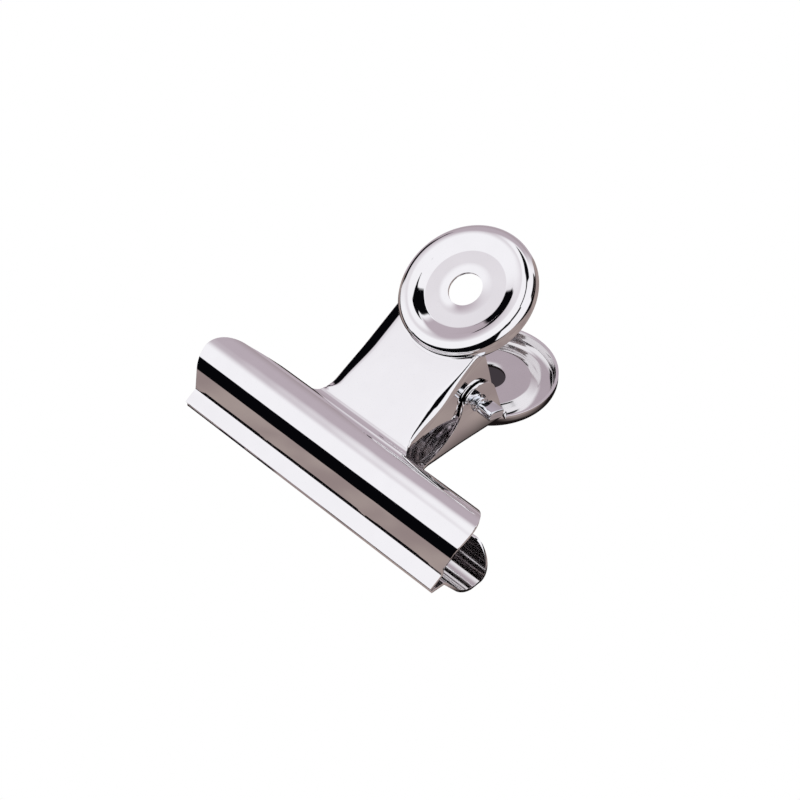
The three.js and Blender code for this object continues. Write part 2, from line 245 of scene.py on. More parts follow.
def lobe_end(y):
    middle = HALF_JAW + LOBE_REACH - LOBE_RADIUS
    over = y - (JAW_REAR_Y - LOBE_RADIUS)
    reach = middle + math.sqrt(max(LOBE_RADIUS ** 2 - over ** 2, 0))
    return reach if over > 0 else max(reach, HALF_JAW)


def long_end(y):
    rear = JAW_REAR_Y - LONG_DROP
    if y > rear:
        slope = (LONG_RUN - LONG_RADIUS) / LONG_DROP
        return HALF_JAW - LONG_RUN + (JAW_REAR_Y - y) * slope
    return round_corner(y, LONG_RADIUS, rear, HALF_JAW - LONG_RADIUS)


FRONT_ENDS = (long_end, lobe_end)
BACK_ENDS = (plain_end, plain_end)
print("front jaw runs from", round(-long_end(0), 2), "to",
      round(lobe_end(JAW_REAR_Y - LOBE_RADIUS), 2))

# %% Widths of the neck, left and right of the pin's middle
NECK_HALF = 10.05
BACK_NECK_HALF = NECK_HALF + JAW_GAP + SHEET
LEFT_EXTRA = 0.78
FRONT_HALVES = (NECK_HALF + LEFT_EXTRA, NECK_HALF)
BACK_HALVES = (BACK_NECK_HALF, BACK_NECK_HALF + LEFT_EXTRA)
SHOULDER = 3.2
FLAT_COLUMNS = 9
FLAT_SHARE = 0.85


def smooth(t):
    t = min(max(t, 0), 1)
    return t * t * (3 - 2 * t)


def neck_half(y, half):
    over = JAW_REAR_Y + SHOULDER - y
    if over <= 0:
        return half
    return half + SHOULDER - math.sqrt(max(SHOULDER ** 2 - min(over, SHOULDER) ** 2, 0))


def column_share(column):
    """Place of a neck column between the middle, 0, and the neck's edge, 1."""
    count = abs(column)
    if count <= FLAT_COLUMNS:
        share = FLAT_SHARE * count / FLAT_COLUMNS
    else:
        past = (count - FLAT_COLUMNS) / (NECK_COLUMNS - FLAT_COLUMNS)
        share = FLAT_SHARE + (1 - FLAT_SHARE) * past
    return math.copysign(share, column)


def neck_z(y):
    return NECK_Z + (y - NECK_Y) * math.tan(math.radians(NECK_ANGLE))


print("neck is", round(sum(FRONT_HALVES), 2), "mm wide in front and",
      round(sum(BACK_HALVES), 2), "behind")

# %% [markdown]
# The neck's sides don't fold at once. Each first slopes down a little, as a soft chamfer,
# and then turns down into the ear. On the left the chamfer widens towards the disc, and on
# the right it is widest halfway up the neck. It shows dark and the turn below it white, so
# its width is what the eye measures here.

# %% Size of the chamfers, left and right
LEFT_SIZE = 0.88
LEFT_GROWTH = 0.45
LEFT_GROWS_FROM = 18
LEFT_GROWS_OVER = 10
RIGHT_SIZE = 0.3
RIGHT_SWELL = 0.92
RIGHT_LENGTH = 17.4
EAR_START_Y = 17.2
LEFT_DEPTH = 0.75
LEFT_DEPTH_SHARE = 0.72
RIGHT_DEPTH = 1.15
RIGHT_DEEPENS = 0.45
RIGHT_DEEPENS_OVER = 5


def chamfer_size(side, y):
    if side < 0:
        return LEFT_SIZE + LEFT_GROWTH * smooth((y - LEFT_GROWS_FROM) / LEFT_GROWS_OVER)
    return RIGHT_SIZE + RIGHT_SWELL * math.sin(math.pi * (y - NECK_Y) / RIGHT_LENGTH) ** 2


def fold_depth(side, y):
    if side < 0:
        return LEFT_DEPTH_SHARE * chamfer_size(side, y) + LEFT_DEPTH
    return RIGHT_DEPTH + RIGHT_DEEPENS * smooth((y - EAR_START_Y) / RIGHT_DEEPENS_OVER)


halfway = NECK_Y + RIGHT_LENGTH / 2
print("halfway up, the folds are", round(fold_depth(-1, halfway), 2), "and",
      round(fold_depth(1, halfway), 2), "mm deep")

# %% Side folds, as points inwards and down from the neck's edge
CHAMFER_STEPS = 6
CHAMFERS = {-1: ((-2.6, 0), (-2.1, 0), (-1.6, -0.25), (-0.3, -0.72)),
            1: ((-1.6, 0), (-1.25, 0), (-1.12, -0.1), (-0.54, -0.46))}
CHAMFER_POINTS = {
    side: interpolate_bezier(*[Vector(point) for point in handles], CHAMFER_STEPS + 1)
    for side, handles in CHAMFERS.items()}
OPENS_BEFORE = 0.6
OPENS_OVER = 3.3
FULL_SIZE = 1.2
THIN_INSET = 0.33
TURN_PULL = 0.55
TURN_LOW = (0.12, 0.8)


def fold_point(column, y):
    """How far a fold's column lies inwards of the edge and below the neck."""
    side = -1 if column < 0 else 1
    step = max(abs(column) - FLAT_COLUMNS, 0)
    opened = smooth((y - NECK_Y + OPENS_BEFORE) / OPENS_OVER)
    size = chamfer_size(side, y)
    inset = Vector((-THIN_INSET * max(FULL_SIZE - size, 0) if side > 0 else 0, 0))
    chamfer = [(point * size + inset) * opened for point in CHAMFER_POINTS[side]]
    if step <= CHAMFER_STEPS:
        return chamfer[step]
    corner = chamfer[-1]
    low = Vector((0, -fold_depth(side, y) * opened))
    along = (corner - chamfer[-2]).normalized() * abs(corner.x) * TURN_PULL
    above = Vector((corner.x * TURN_LOW[0], low.y * TURN_LOW[1]))
    turn = interpolate_bezier(corner, corner + along, above, low,
                              NECK_COLUMNS - FLAT_COLUMNS - CHAMFER_STEPS + 1)
    return turn[step - CHAMFER_STEPS]


print("the right chamfer is",
      round(-CHAMFER_POINTS[1][0].x * chamfer_size(1, halfway), 2), "mm wide halfway up")

# %% [markdown]
# The thumb disc is turned about its own axis. Its face is a flat centre round a hole, a
# soft step, a raised ring, and a rim that turns down. The neck has to stop inside that
# rim's wall, so the disc's place is settled before the plate is drawn.

# %% Place and face of the thumb disc
DISC_Y = 43.5
DISC_ANGLE = math.radians(15)
DISC_LIFT = 0.1
RIM_RADIUS = 12.8
CREST_RADIUS = 10.7
CREST_HEIGHT = 2.15
FLAT_HEIGHT = 1.1
STEP_RADIUS = 7.58
STEP_SLOPE = math.tan(math.radians(25))
STEP_ROUND = 0.2
STEP_RINGS = (8.1, 8.45, 8.8)
STEP_PULL = 9.1
CREST_PULL = 9.5
CREST_STEPS = 18
HOLE_RADIUS = 3.2
FLAT_RING = 5.2
RIM_DEPTH = 1.0
DISC_STEPS = 120

disc_z = neck_z(DISC_Y) - DISC_LIFT
DISC_PLACE = (Matrix.Translation((0, DISC_Y, disc_z)) @ Matrix.Rotation(DISC_ANGLE, 4, "X"))


def chain(bm, points):
    """Joined edges through the points of a section, X outwards and Z up."""
    verts = [bm.verts.new((x, 0, z)) for x, z in points]
    return verts, [bm.edges.new(pair) for pair in zip(verts[:-1], verts[1:])]


def curve(a, b, c, d, steps):
    """Points on a Bezier curve from a to d, without its first point."""
    points = interpolate_bezier(*[Vector((x, 0, z)) for x, z in (a, b, c, d)], steps + 1)
    return [(p.x, p.z) for p in points[1:]]


def on_step(x):
    return x, FLAT_HEIGHT + (x - STEP_RADIUS) * STEP_SLOPE


def disc_section():
    """The disc's half section from its hole to its rim, as (radius, height)."""
    crest_round = RIM_RADIUS - CREST_RADIUS
    corner = on_step(STEP_RADIUS)
    points = [(x, FLAT_HEIGHT) for x in (HOLE_RADIUS, FLAT_RING, STEP_RADIUS - STEP_ROUND)]
    points += curve(points[-1], corner, corner, on_step(STEP_RADIUS + STEP_ROUND), steps=6)
    points += [on_step(x) for x in STEP_RINGS]
    points += curve(points[-1], on_step(STEP_PULL), (CREST_PULL, CREST_HEIGHT),
                    (CREST_RADIUS, CREST_HEIGHT), steps=12)
    low = CREST_HEIGHT - crest_round
    for step in range(1, CREST_STEPS + 1):
        angle = math.radians(90 * (1 - step / CREST_STEPS))
        points.append((CREST_RADIUS + crest_round * math.cos(angle),
                       low + crest_round * math.sin(angle)))
    points += [(RIM_RADIUS, (low - RIM_DEPTH) / 2), (RIM_RADIUS, -RIM_DEPTH)]
    return points


def face_up(bm, faces):
    """Turns the outside of an open skin upwards."""
    bmesh.ops.recalc_face_normals(bm, faces=faces)
    if sum(face.normal.z * face.calc_area() for face in faces) < 0:
        bmesh.ops.reverse_faces(bm, faces=faces)


def add_disc(bm):
    before = set(bm.verts)
    verts, edges = chain(bm, disc_section())
    bmesh.ops.spin(bm, geom=verts + edges, cent=(0, 0, 0), axis=(0, 0, 1), dvec=(0, 0, 0),
                   angle=2 * math.pi, steps=DISC_STEPS, use_merge=True, use_duplicate=False)
    made = [vert for vert in bm.verts if vert not in before]
    bmesh.ops.remove_doubles(bm, verts=made, dist=NEAR)
    made = [vert for vert in bm.verts if vert not in before]
    face_up(bm, list({face for vert in made for face in vert.link_faces}))
    bmesh.ops.transform(bm, matrix=DISC_PLACE, verts=made)


def disc_edge_y(x):
    """Y at which the neck runs into the middle of the rim's wall."""
    reach = RIM_RADIUS - SHEET / 2
    return DISC_Y - math.cos(DISC_ANGLE) * math.sqrt(reach ** 2 - min(abs(x), reach) ** 2)


print("disc section has", len(disc_section()), "points")

# %% [markdown]
# Now the columns get their places. In the jaw they spread over its whole length, and more
# closely near its ends, where the outline turns fast. In the neck they follow the side
# folds, and every row is stretched to end inside the disc's rim.

# %% Giving the columns their places
NECK_ROWS = 34
END_CROWDING = 1.7


def place_columns(pen, jaw_rows, halves, ends):
    top = Vector((0, -math.sin(math.radians(NECK_ANGLE)), math.cos(math.radians(NECK_ANGLE))))
    run = DISC_Y - NECK_Y
    for vert in pen.bm.verts:
        column = vert[pen.column]
        half = halves[column > 0]
        y = vert.co.y
        if abs(column) > NECK_COLUMNS:
            end = ends[column > 0](y)
            edge = half + SHOULDER
            share = 1 - (1 - (abs(column) - NECK_COLUMNS) / END_COLUMNS) ** END_CROWDING
            vert.co.x = math.copysign(edge + share * (end - edge), column)
            continue
        share = column_share(column)
        if vert in jaw_rows:
            vert.co.x = share * (half + SHOULDER)
        elif y <= NECK_Y + NEAR:
            vert.co.x = share * neck_half(y, half)
        else:
            stop = disc_edge_y(share * half)
            y = NECK_Y + (y - NECK_Y) / run * (stop - NECK_Y)
            width = neck_half(y, half)
            inward, drop = fold_point(column, y)
            across = min(abs(share) / FLAT_SHARE, 1) * (width + inward)
            place = Vector((0, y, neck_z(y))) + top * drop
            vert.co = (math.copysign(across, column), place.y, place.z)


def draw_plate(halves, ends):
    pen = SheetPen(lip_tip, LIP_ANGLE)
    bend_jaw(pen)
    jaw_rows = set(pen.bm.verts)
    pen.narrow(NECK_COLUMNS)
    pen.bend(ROLL_RADIUS, ROLL_END_ANGLE - FOLD_TURN, steps=1)
    pen.bend(FOLD_RADIUS, FOLD_TURN + NECK_ANGLE, steps=20)
    pen.straight((DISC_Y - NECK_Y) / math.cos(math.radians(NECK_ANGLE)), steps=NECK_ROWS)
    place_columns(pen, jaw_rows, halves, ends)
    return pen


print("the neck is drawn in", NECK_ROWS, "rows")

# %% [markdown]
# Each side of the neck folds down into an ear, a flange that deepens towards the pin and
# ends in a round lobe. The ear is flat, so its outline is drawn once, with a hole for the
# pin, and filled. A single point spun round the pin draws the lobe.

# %% Ears
LOBE = 4.1
LOBE_ENTRY = 203
LOBE_PULL = 3.2
HOLE = 1.72
EAR_START_DEPTH = 1.3
EAR_START_PULL = (4.6, 0.7)
EAR_START_STEP = 0.1
EAR_REAR_Y = 36.9
REAR_REACH = 0.52
REAR_TUCK = 0.15
STRIP = 0.1
STRIP_GROWTH = 0.55
STRIP_GROWS_OVER = 1.4


def next_vert(bm, vert, at):
    made = bm.verts.new(at)
    return made, bm.edges.new((vert, made))


def ear_path(bm, first, last, x):
    """Edges of the ear's lower outline, from the neck's start to its end at the disc."""
    start = Vector((EAR_START_Y, neck_z(EAR_START_Y) - EAR_START_DEPTH))
    entry_angle = math.radians(LOBE_ENTRY)
    entry = Vector((PIVOT_Y + LOBE * math.cos(entry_angle), LOBE * math.sin(entry_angle)))
    pull = LOBE_PULL * Vector((math.sin(entry_angle), -math.cos(entry_angle)))
    edges, vert = [], first
    points = interpolate_bezier(start, start + Vector(EAR_START_PULL), entry + pull, entry, 16)
    for point in points:
        if point[0] > first.co.y + EAR_START_STEP:
            vert, edge = next_vert(bm, vert, (x, point[0], point[1]))
            edges.append(edge)
    before = set(bm.edges)
    turned = bmesh.ops.spin(
        bm, geom=[vert], cent=(x, PIVOT_Y, 0), axis=(1, 0, 0), dvec=(0, 0, 0),
        angle=math.radians(360 - LOBE_ENTRY), steps=26, use_duplicate=False)
    edges += [edge for edge in bm.edges if edge not in before]
    vert = [item for item in turned["geom_last"] if is_vert(item)][0]
    rim_low = DISC_PLACE @ Vector((0, -RIM_RADIUS * REAR_REACH, -RIM_DEPTH + REAR_TUCK))
    for y, z in ((EAR_REAR_Y, LOBE), (EAR_REAR_Y, rim_low.z)):
        vert, edge = next_vert(bm, vert, (x, y, z))
        edges.append(edge)
    return edges + [bm.edges.new((vert, last))]


def add_ear(pen, side, half):
    bm, x = pen.bm, side * half
    border = [edge for edge in bm.edges if edge.is_boundary and all(
        vert[pen.column] == side * NECK_COLUMNS and vert.co.y > NECK_Y - NEAR
        for vert in edge.verts)]
    made = bmesh.ops.extrude_edge_only(bm, edges=border)["geom"]
    low = sorted((item for item in made if is_vert(item)), key=lambda vert: vert.co.y)
    for vert in low:
        vert.co.z -= STRIP
        if vert.co.y <= EAR_START_Y:
            vert.co.z -= STRIP_GROWTH * smooth((vert.co.y - NECK_Y) / STRIP_GROWS_OVER)
    rear = [vert for vert in low if vert.co.y > EAR_START_Y]
    top = [edge for edge in made if is_edge(edge) and all(vert in rear for vert in edge.verts)]
    for vert in rear:
        vert.co.x = x
    lower = ear_path(bm, rear[0], rear[-1], x)
    place = Matrix.Translation((x, PIVOT_Y, 0)) @ Matrix.Rotation(math.pi / 2, 4, "Y")
    ring = bmesh.ops.create_circle(bm, segments=40, radius=HOLE, matrix=place)["verts"]
    ring_edges = list({edge for vert in ring for edge in vert.link_edges})
    bmesh.ops.triangle_fill(bm, use_beauty=True, edges=top + lower + ring_edges,
                            normal=(side, 0, 0))


print("the ears run from", EAR_START_Y, "to", EAR_REAR_Y, "and reach", LOBE, "mm below the pin")

# %% [markdown]
# The finished face of the plate is a skin without thickness. It is turned to its place,
# and Solidify then gives it the wall of the real sheet, inwards, so the outer faces stay
# where the solid model has them. A fine bevel rounds the cut edges, which catch thin
# bright lines on the real clip, and weighted normals keep the flat parts flat.

# %% From a skin to a plate
EDGE_ROUND = 0.09
EDGE_ANGLE = 50


def finish_piece(name, bm, place, material, node_name):
    bmesh.ops.transform(bm, matrix=place, verts=bm.verts)
    mesh = bpy.data.meshes.new(name)
    bm.to_mesh(mesh)
    bm.free()
    mesh.polygons.foreach_set("use_smooth", [True] * len(mesh.polygons))
    mesh.materials.append(material)
    piece = bpy.data.objects.new(name, mesh)
    bpy.context.scene.collection.objects.link(piece)
    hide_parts(node_name)
    print(name, "has", len(mesh.polygons), "faces")
    return piece


def add_wall(piece):
    wall = piece.modifiers.new("wall", "SOLIDIFY")
    wall.thickness = SHEET * MM
    wall.offset = -1
    wall.use_even_offset = False
    wall.material_offset = 1
    add_edge_round(piece, EDGE_ROUND)


def add_edge_round(piece, width):
    edge = piece.modifiers.new("cut edges", "BEVEL")
    edge.width = width * MM
    edge.segments = 2
    edge.limit_method = "ANGLE"
    edge.angle_limit = math.radians(EDGE_ANGLE)
    normals = piece.modifiers.new("flat parts stay flat", "WEIGHTED_NORMAL")
    normals.mode = "FACE_AREA"
    normals.keep_sharp = True


print("walls get", SHEET, "mm, and their cut edges are rounded by", EDGE_ROUND, "mm")

# %% [markdown]
# Nickel plate is a mirror with a faint grey of its own. Pressing leaves it very slightly
# wavy, and fingers leave patches that shine a little less. So a soft wide noise bends the
# mirror, and a finer one tints and dulls it here and there. The pin and the spring wear
# the same way, so these marks live in one node group. The inside of a plate is duller,
# because less nickel settles there, and has a metal of its own. That metal's darker tint
# is painted shade, where the two plates face each other.

# %% Wear of handled metal, as a node group
def new_group(name, inputs, outputs):
    group = bpy.data.node_groups.new(name, "ShaderNodeTree")
    for title, kind, value in inputs:
        socket = group.interface.new_socket(title, in_out="INPUT", socket_type=kind)
        socket.default_value = value
    for title, kind in outputs:
        group.interface.new_socket(title, in_out="OUTPUT", socket_type=kind)
    return group, group.nodes.new("NodeGroupInput"), group.nodes.new("NodeGroupOutput")


def node(tree, kind, **values):
    made = tree.nodes.new(kind)
    for key, value in values.items():
        if key in made.inputs.keys():
            made.inputs[key].default_value = value
        else:
            setattr(made, key, value)
    return made


def metal_wear():
    group, given, out = new_group(
        "metal wear",
        [("Waviness", "NodeSocketFloat", 0.3)],
        [("Smudge", "NodeSocketFloat"), ("Height", "NodeSocketFloat")])
    link = group.links.new
    place = group.nodes.new("ShaderNodeTexCoord").outputs["Object"]
    waves = node(group, "ShaderNodeTexNoise", Scale=90.0, Detail=1.0)
    smudge = node(group, "ShaderNodeTexNoise", Scale=320.0, Detail=4.0, Roughness=0.6)
    high = node(group, "ShaderNodeMath", operation="MULTIPLY")
    link(place, waves.inputs["Vector"])
    link(place, smudge.inputs["Vector"])
    link(waves.outputs["Fac"], high.inputs[0])
    link(given.outputs["Waviness"], high.inputs[1])
    link(high.outputs["Value"], out.inputs["Height"])
    link(smudge.outputs["Fac"], out.inputs["Smudge"])
    return group


WEAR = metal_wear()
print("wear group puts out", [item.name for item in WEAR.interface.items_tree])

# %% Metals, each between two tints and two roughnesses
WAVE_HEIGHT = 0.05
SMUDGE_RANGE = (0.3, 0.7)


def metal(name, dark, light, rough, waviness):
    material = bpy.data.materials.new(name)
    material.use_nodes = True
    tree = material.node_tree
    shader = tree.nodes["Principled BSDF"]
    shader.inputs["Metallic"].default_value = 1.0
    wear = node(tree, "ShaderNodeGroup", node_tree=WEAR)
    wear.inputs["Waviness"].default_value = waviness
    tint = node(tree, "ShaderNodeMix", data_type="RGBA")
    tint.inputs[6].default_value = (*dark, 1)
    tint.inputs[7].default_value = (*light, 1)
    dull = node(tree, "ShaderNodeMapRange")
    limits = (*SMUDGE_RANGE, *rough)
    for key, value in zip(("From Min", "From Max", "To Min", "To Max"), limits):
        dull.inputs[key].default_value = value
    bump = node(tree, "ShaderNodeBump", Strength=1.0, Distance=WAVE_HEIGHT * MM)
    link = tree.links.new
    link(wear.outputs["Smudge"], tint.inputs[0])
    link(wear.outputs["Smudge"], dull.inputs["Value"])
    link(wear.outputs["Height"], bump.inputs["Height"])
    link(tint.outputs[2], shader.inputs["Base Color"])
    link(dull.outputs["Result"], shader.inputs["Roughness"])
    link(bump.outputs["Normal"], shader.inputs["Normal"])
    print("made", name)
    return material


NICKEL = metal("nickel plate", dark=(0.93, 0.925, 0.93), light=(0.98, 0.975, 0.98),
               rough=(0.02, 0.05), waviness=1.2)
# painted shade: the darker tint of the inner faces stands for the shade between the two plates
NICKEL_INSIDE_SHADED = metal("shaded nickel plate inside", dark=(0.80, 0.785, 0.79), light=(0.88, 0.865, 0.87),
                      rough=(0.06, 0.12), waviness=1.2)
PIN_STEEL = metal("zinc plated pin", dark=(0.86, 0.89, 0.94), light=(0.95, 0.97, 1.0),
                  rough=(0.05, 0.10), waviness=0.4)
SPRING_STEEL = metal("spring wire", dark=(0.34, 0.32, 0.34), light=(0.55, 0.52, 0.53),
                     rough=(0.12, 0.22), waviness=0.3)

# %% [markdown]
# Both plates come out of the same press. The neck of the back one is a sheet and a gap
# wider on each side, so that its ears go outside the front ones, and it is turned over.
# That swaps its left and its right, so its two widths are given the other way round.

# %% The two plates
def make_plate(name, halves, ends, place, node_name, body):
    pen = draw_plate(halves, ends)
    bm = pen.bm
    for side in (-1, 1):
        add_ear(pen, side, halves[side > 0])
    face_up(bm, bm.faces[:])
    add_disc(bm)
    piece = finish_piece(name, bm, place, NICKEL, node_name)
    piece.data.materials.append(NICKEL_INSIDE_SHADED)
    add_wall(piece)
    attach(piece, body)


make_plate("front_sheet", FRONT_HALVES, FRONT_ENDS, PLACE, "front_plate", "front")
make_plate("back_sheet", BACK_HALVES, BACK_ENDS, PLACE @ TURN_OVER, "back_plate", "back")

# %% [markdown]
# The pin is a short rod through both pairs of ears. It has a domed head on the left. On
# the right it narrows to a waist with a collar round it, and its end is struck flat into
# a blade, which is wider than the holes and keeps it in place. All but the blade is a
# turned shape, so a half section is spun round the axis, and the blade is a block with
# its edges bevelled. The rod's core ends inside that block.

# %% Section of the pin
PIN_RADIUS = 1.5
HEAD_RADIUS = 2.5
HEAD_HEIGHT = 1.1
DOME = ((0, 1), (0.6, 1), (1, 0.75), (1, 0.3))
PIN_REACH = 4.5
WAIST_RADIUS = 1.0
WAIST_STEP = 0.2
COLLAR_RADIUS = 1.45
COLLAR_WIDTH = 0.45
COLLAR_SLOPE = 0.1
COLLAR_GAP = 0.6
BLADE_LENGTH = 3.5
CORE = ((0.7, 0.15), (0.6, 0.5 * BLADE_LENGTH), (0, 0.55 * BLADE_LENGTH))


def pin_section():
    """The pin's half section from its head to its core, as (radius, place along it)."""
    base = -(BACK_NECK_HALF + LEFT_EXTRA + JAW_GAP)
    dome = [(HEAD_RADIUS * out, base - HEAD_HEIGHT * up) for out, up in DOME]
    points = [dome[0]] + curve(*dome, steps=11)
    blade = BACK_NECK_HALF + PIN_REACH - BLADE_LENGTH
    collar = blade - COLLAR_GAP
    points += [(HEAD_RADIUS, base), (PIN_RADIUS, base),
               (PIN_RADIUS, BACK_NECK_HALF - WAIST_STEP), (WAIST_RADIUS, BACK_NECK_HALF),
               (WAIST_RADIUS, collar - COLLAR_SLOPE), (COLLAR_RADIUS, collar),
               (COLLAR_RADIUS, collar + COLLAR_WIDTH),
               (WAIST_RADIUS, collar + COLLAR_WIDTH + COLLAR_SLOPE), (WAIST_RADIUS, blade)]
    return points + [(radius, blade + past) for radius, past in CORE]


print("pin section has", len(pin_section()), "points")

# %% The pin
BLADE_WIDTH = 3.6
BLADE_THICK = 1.9
BLADE_ANGLE = math.radians(33)
BLADE_BEVEL = 0.36
PIN_EDGE_ROUND = 0.06


def make_pin():
    bm = bmesh.new()
    verts, edges = chain(bm, pin_section())
    bmesh.ops.spin(bm, geom=verts + edges, cent=(0, 0, 0), axis=(0, 0, 1), dvec=(0, 0, 0),
                   angle=2 * math.pi, steps=40, use_merge=True, use_duplicate=False)
    bmesh.ops.remove_doubles(bm, verts=bm.verts, dist=NEAR)
    bmesh.ops.recalc_face_normals(bm, faces=bm.faces)
    middle = BACK_NECK_HALF + PIN_REACH - BLADE_LENGTH / 2
    block = (Matrix.Translation((0, 0, middle)) @ Matrix.Rotation(-BLADE_ANGLE, 4, "Z")
             @ Matrix.Diagonal((BLADE_THICK, BLADE_WIDTH, BLADE_LENGTH, 1)))
    cube = bmesh.ops.create_cube(bm, size=1, matrix=block)["verts"]
    edges = list({edge for vert in cube for edge in vert.link_edges})
    bmesh.ops.bevel(bm, geom=edges, offset=BLADE_BEVEL, offset_type="OFFSET", affect="EDGES",
                    segments=1, profile=0.5, material=-1, clamp_overlap=True)
    place = PLACE @ Matrix.Translation((0, PIVOT_Y, 0)) @ Matrix.Rotation(math.pi / 2, 4, "Y")
    piece = finish_piece("rivet_pin", bm, place, PIN_STEEL, "pivot_pin")
    add_edge_round(piece, PIN_EDGE_ROUND)
    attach(piece, "back")


make_pin()

# %% [markdown]
# The spring is one wire: a foot under the front disc, a bend, a leg, six turns round the
# pin and the same again under the back disc. A circle of the wire's size is pushed along
# the straight parts and spun round the bends. For the coil the spin also climbs, which is
# how a screw is made.

# %% Where the spring's wire goes
WIRE = 0.6
COIL = 3.4
TURNS = 6
PITCH = 1.8
FOOT_START = -4.2
FOOT_END = 2.2
FOOT_BEND = 1.4


def on_disc(along, height):
    point = DISC_PLACE @ Vector((0, along, height))
    return Vector((point.y, point.z))


def spring_leg():
    """Where the leg's parts lie, as (y, z) about the pin."""
    height = FLAT_HEIGHT - SHEET - JAW_GAP - WIRE
    pivot = Vector((PIVOT_Y, 0))
    tip, corner = on_disc(FOOT_END, height) - pivot, on_disc(FOOT_START, height) - pivot
    tangent = math.atan2(corner.y, corner.x) - math.acos(COIL / corner.length)
    leave = COIL * Vector((math.cos(tangent), math.sin(tangent)))
    inward, outward = (leave - corner).normalized(), (tip - corner).normalized()
    half_turn = inward.angle(outward) / 2
    setback = FOOT_BEND / math.tan(half_turn)
    centre = corner + (inward + outward).normalized() * FOOT_BEND / math.sin(half_turn)
    return {"tip": tip, "bend_from": corner + outward * setback, "centre": centre,
            "bend_to": corner + inward * setback, "leave": leave, "tangent": tangent,
            "turn": math.pi - 2 * half_turn}


print("the legs leave the coil at", round(math.degrees(spring_leg()["tangent"]), 1), "degrees")

# %% A ring of points that draws the wire
class WirePen:
    def __init__(self, at, along):
        self.bm = bmesh.new()
        place = Matrix.Translation(at) @ along.to_track_quat("Z", "Y").to_matrix().to_4x4()
        ring = bmesh.ops.create_circle(self.bm, segments=14, radius=WIRE, cap_ends=True,
                                       matrix=place)
        self.ring = list({edge for vert in ring["verts"] for edge in vert.link_edges})

    def push(self, vector, steps):
        for _ in range(steps):
            self.ring = push_edges(self.bm, self.ring, vector / steps)

    def turn(self, centre, angle, steps, climb=0.0):
        self.ring = spin_edges(self.bm, self.ring, centre, angle, steps, climb)

    def close(self):
        bmesh.ops.holes_fill(self.bm, edges=self.ring, sides=0)


print("the wire's pen draws", 2 * WIRE, "mm wire")

# %% The spring
FOOT_STEPS = 3
BEND_STEPS = 10
LEG_STEPS = 4
STEPS_IN_TURN = 24
WIRE_END_ROUND = 0.1


def leg_at(x, flip):
    """The leg's parts as points in the drawing, turned over for the back one."""
    return {part: Vector((x, point.x, -point.y if flip else point.y))
            for part, point in spring_leg().items() if isinstance(point, Vector)}


def make_spring():
    tangent, turn = [spring_leg()[key] for key in ("tangent", "turn")]
    sweep = 2 * math.pi * TURNS + 2 * tangent
    length = PITCH * sweep / (2 * math.pi)
    low, high = leg_at(-length / 2, True), leg_at(length / 2, False)
    pen = WirePen(low["tip"], (low["bend_from"] - low["tip"]).normalized())
    pen.push(low["bend_from"] - low["tip"], FOOT_STEPS)
    pen.turn(low["centre"], turn, BEND_STEPS)
    pen.push(low["leave"] - low["bend_to"], LEG_STEPS)
    pen.turn((-length / 2, 0, 0), sweep, STEPS_IN_TURN * TURNS, climb=length)
    pen.push(high["bend_to"] - high["leave"], LEG_STEPS)
    pen.turn(high["centre"], turn, BEND_STEPS)
    pen.push(high["tip"] - high["bend_from"], FOOT_STEPS)
    pen.close()
    bmesh.ops.recalc_face_normals(pen.bm, faces=pen.bm.faces)
    place = PLACE @ Matrix.Translation((0, PIVOT_Y, 0))
    piece = finish_piece("spring_wire", pen.bm, place, SPRING_STEEL, "torsion_spring")
    add_edge_round(piece, WIRE_END_ROUND)
    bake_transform(piece)


make_spring()

# %% [markdown]
# A mirror shows its room, so the room decides how nickel looks. This room is a white tent
# with black cards in it, as a photographer builds one for cutlery, and with a lilac grey
# wall behind on the left. The widest card is low in front, and smaller ones stand at the
# sides and behind. A card is a window in two angles. One goes round the clip, from 0 in
# front over 90 on the left to 180 behind, and the other goes up. Mats on the table do the
# same for what looks down. Two dark ones under the clip are its painted shadow, and the
# black one left of its neck is partly a dark mat and partly painted shadow. The eye sees
# neither cards nor mats. It sees a white room and a white floor with one round shade on
# it, which lies behind the hole of the rear disc.

# %% Masks and colours for the studio
def smooth_mask(tree, value, low, high):
    made = node(tree, "ShaderNodeMapRange", interpolation_type="SMOOTHSTEP")
    made.inputs["From Min"].default_value = low
    made.inputs["From Max"].default_value = high
    tree.links.new(value, made.inputs["Value"])
    return made.outputs["Result"]


def blend_colour(tree, mask, under, over):
    made = node(tree, "ShaderNodeMix", data_type="RGBA")
    tree.links.new(mask, made.inputs[0])
    for socket, value in ((made.inputs[6], under), (made.inputs[7], over)):
        if isinstance(value, tuple):
            socket.default_value = (*value, 1)
        else:
            tree.links.new(value, socket)
    return made.outputs[2]


def math_node(tree, operation, *values):
    made = node(tree, "ShaderNodeMath", operation=operation)
    for socket, value in zip(made.inputs, values):
        if isinstance(value, (int, float)):
            socket.default_value = value
        else:
            tree.links.new(value, socket)
    return made.outputs[0]


def linear(*rgb):
    """A screen colour from 0 to 255 as the linear light that shaders work with."""
    return tuple((c / 255 / 12.92) if c / 255 <= 0.04045 else ((c / 255 + 0.055) / 1.055) ** 2.4
                 for c in rgb)


def window(tree, value, low, high, soft_low, soft_high=None):
    """1 from low to high, and a soft fall to 0 outside them."""
    rise = smooth_mask(tree, value, low - soft_low, low)
    fall = smooth_mask(tree, value, high + (soft_high or soft_low), high)
    return math_node(tree, "MULTIPLY", rise, fall)


def patch(tree, first, second, limits, soft):
    """1 where the first value lies between two limits and the second between the others."""
    return math_node(tree, "MULTIPLY", window(tree, first, *limits[:2], soft),
                     window(tree, second, *limits[2:], soft))


print("a middle grey of 128 is", round(linear(128)[0], 3), "in linear light")

